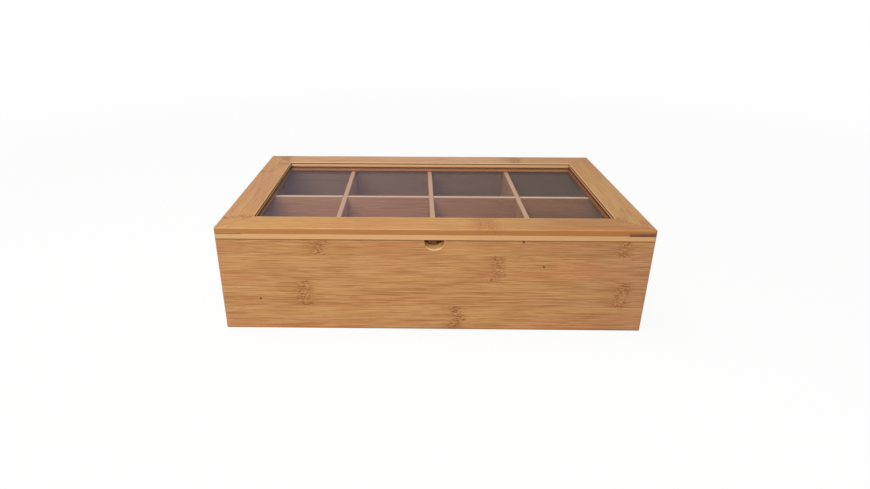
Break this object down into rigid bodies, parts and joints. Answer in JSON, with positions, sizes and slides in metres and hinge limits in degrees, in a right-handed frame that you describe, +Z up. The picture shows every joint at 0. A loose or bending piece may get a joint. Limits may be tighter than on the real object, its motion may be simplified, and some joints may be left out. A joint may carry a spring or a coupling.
{
  "type": "tea bag box",
  "caption": "Hinged bamboo tea bag box with a clear window in its framed lid, crossed dividers that form compartments, and a thumb notch at the front.",
  "frame": {"origin": "middle of the underside, where the box stands", "axes": "+X to the right as the user faces the front, -Y towards the user, +Z up"},
  "size_m": [0.33, 0.2, 0.087],
  "materials": {
    "wall_bamboo": "sanded bamboo, satin lacquer",
    "lid_bamboo": "sanded bamboo, satin lacquer",
    "divider_bamboo": "sanded bamboo, thin lacquer",
    "key_bamboo": "carbonised bamboo, satin lacquer",
    "clear_acrylic": "clear, polished",
    "leaf_brass": "stamped, brushed brass",
    "screw_brass": "turned brass"
  },
  "bodies": {
    "box": {"front_panel": "wall_bamboo", "back_panel": "wall_bamboo", "left_side_panel": "wall_bamboo", "right_side_panel": "wall_bamboo", "floor_panel": "wall_bamboo", "long_divider": "divider_bamboo", "cross_divider_left": "divider_bamboo", "cross_divider_middle": "divider_bamboo", "cross_divider_right": "divider_bamboo", "hinge_left_box_leaf": "leaf_brass", "hinge_left_pin": "leaf_brass", "hinge_right_box_leaf": "leaf_brass", "hinge_right_pin": "leaf_brass", "hinge_box_screws": "screw_brass"},
    "lid": {"lid_front_rail": "lid_bamboo", "lid_back_rail": "lid_bamboo", "lid_left_stile": "lid_bamboo", "lid_right_stile": "lid_bamboo", "lid_key_front_left": "key_bamboo", "lid_key_front_right": "key_bamboo", "lid_key_back_left": "key_bamboo", "lid_key_back_right": "key_bamboo", "window_pane": "clear_acrylic", "hinge_left_lid_leaf": "leaf_brass", "hinge_right_lid_leaf": "leaf_brass", "hinge_lid_screws": "screw_brass"}
  },
  "joints": [
    {"name": "lid_hinge", "type": "hinge", "parent": "box", "child": "lid", "pos_m": [0, 0.097, 0.078], "axis": [-1, 0, 0], "range_deg": [0, 95]}
  ]
}
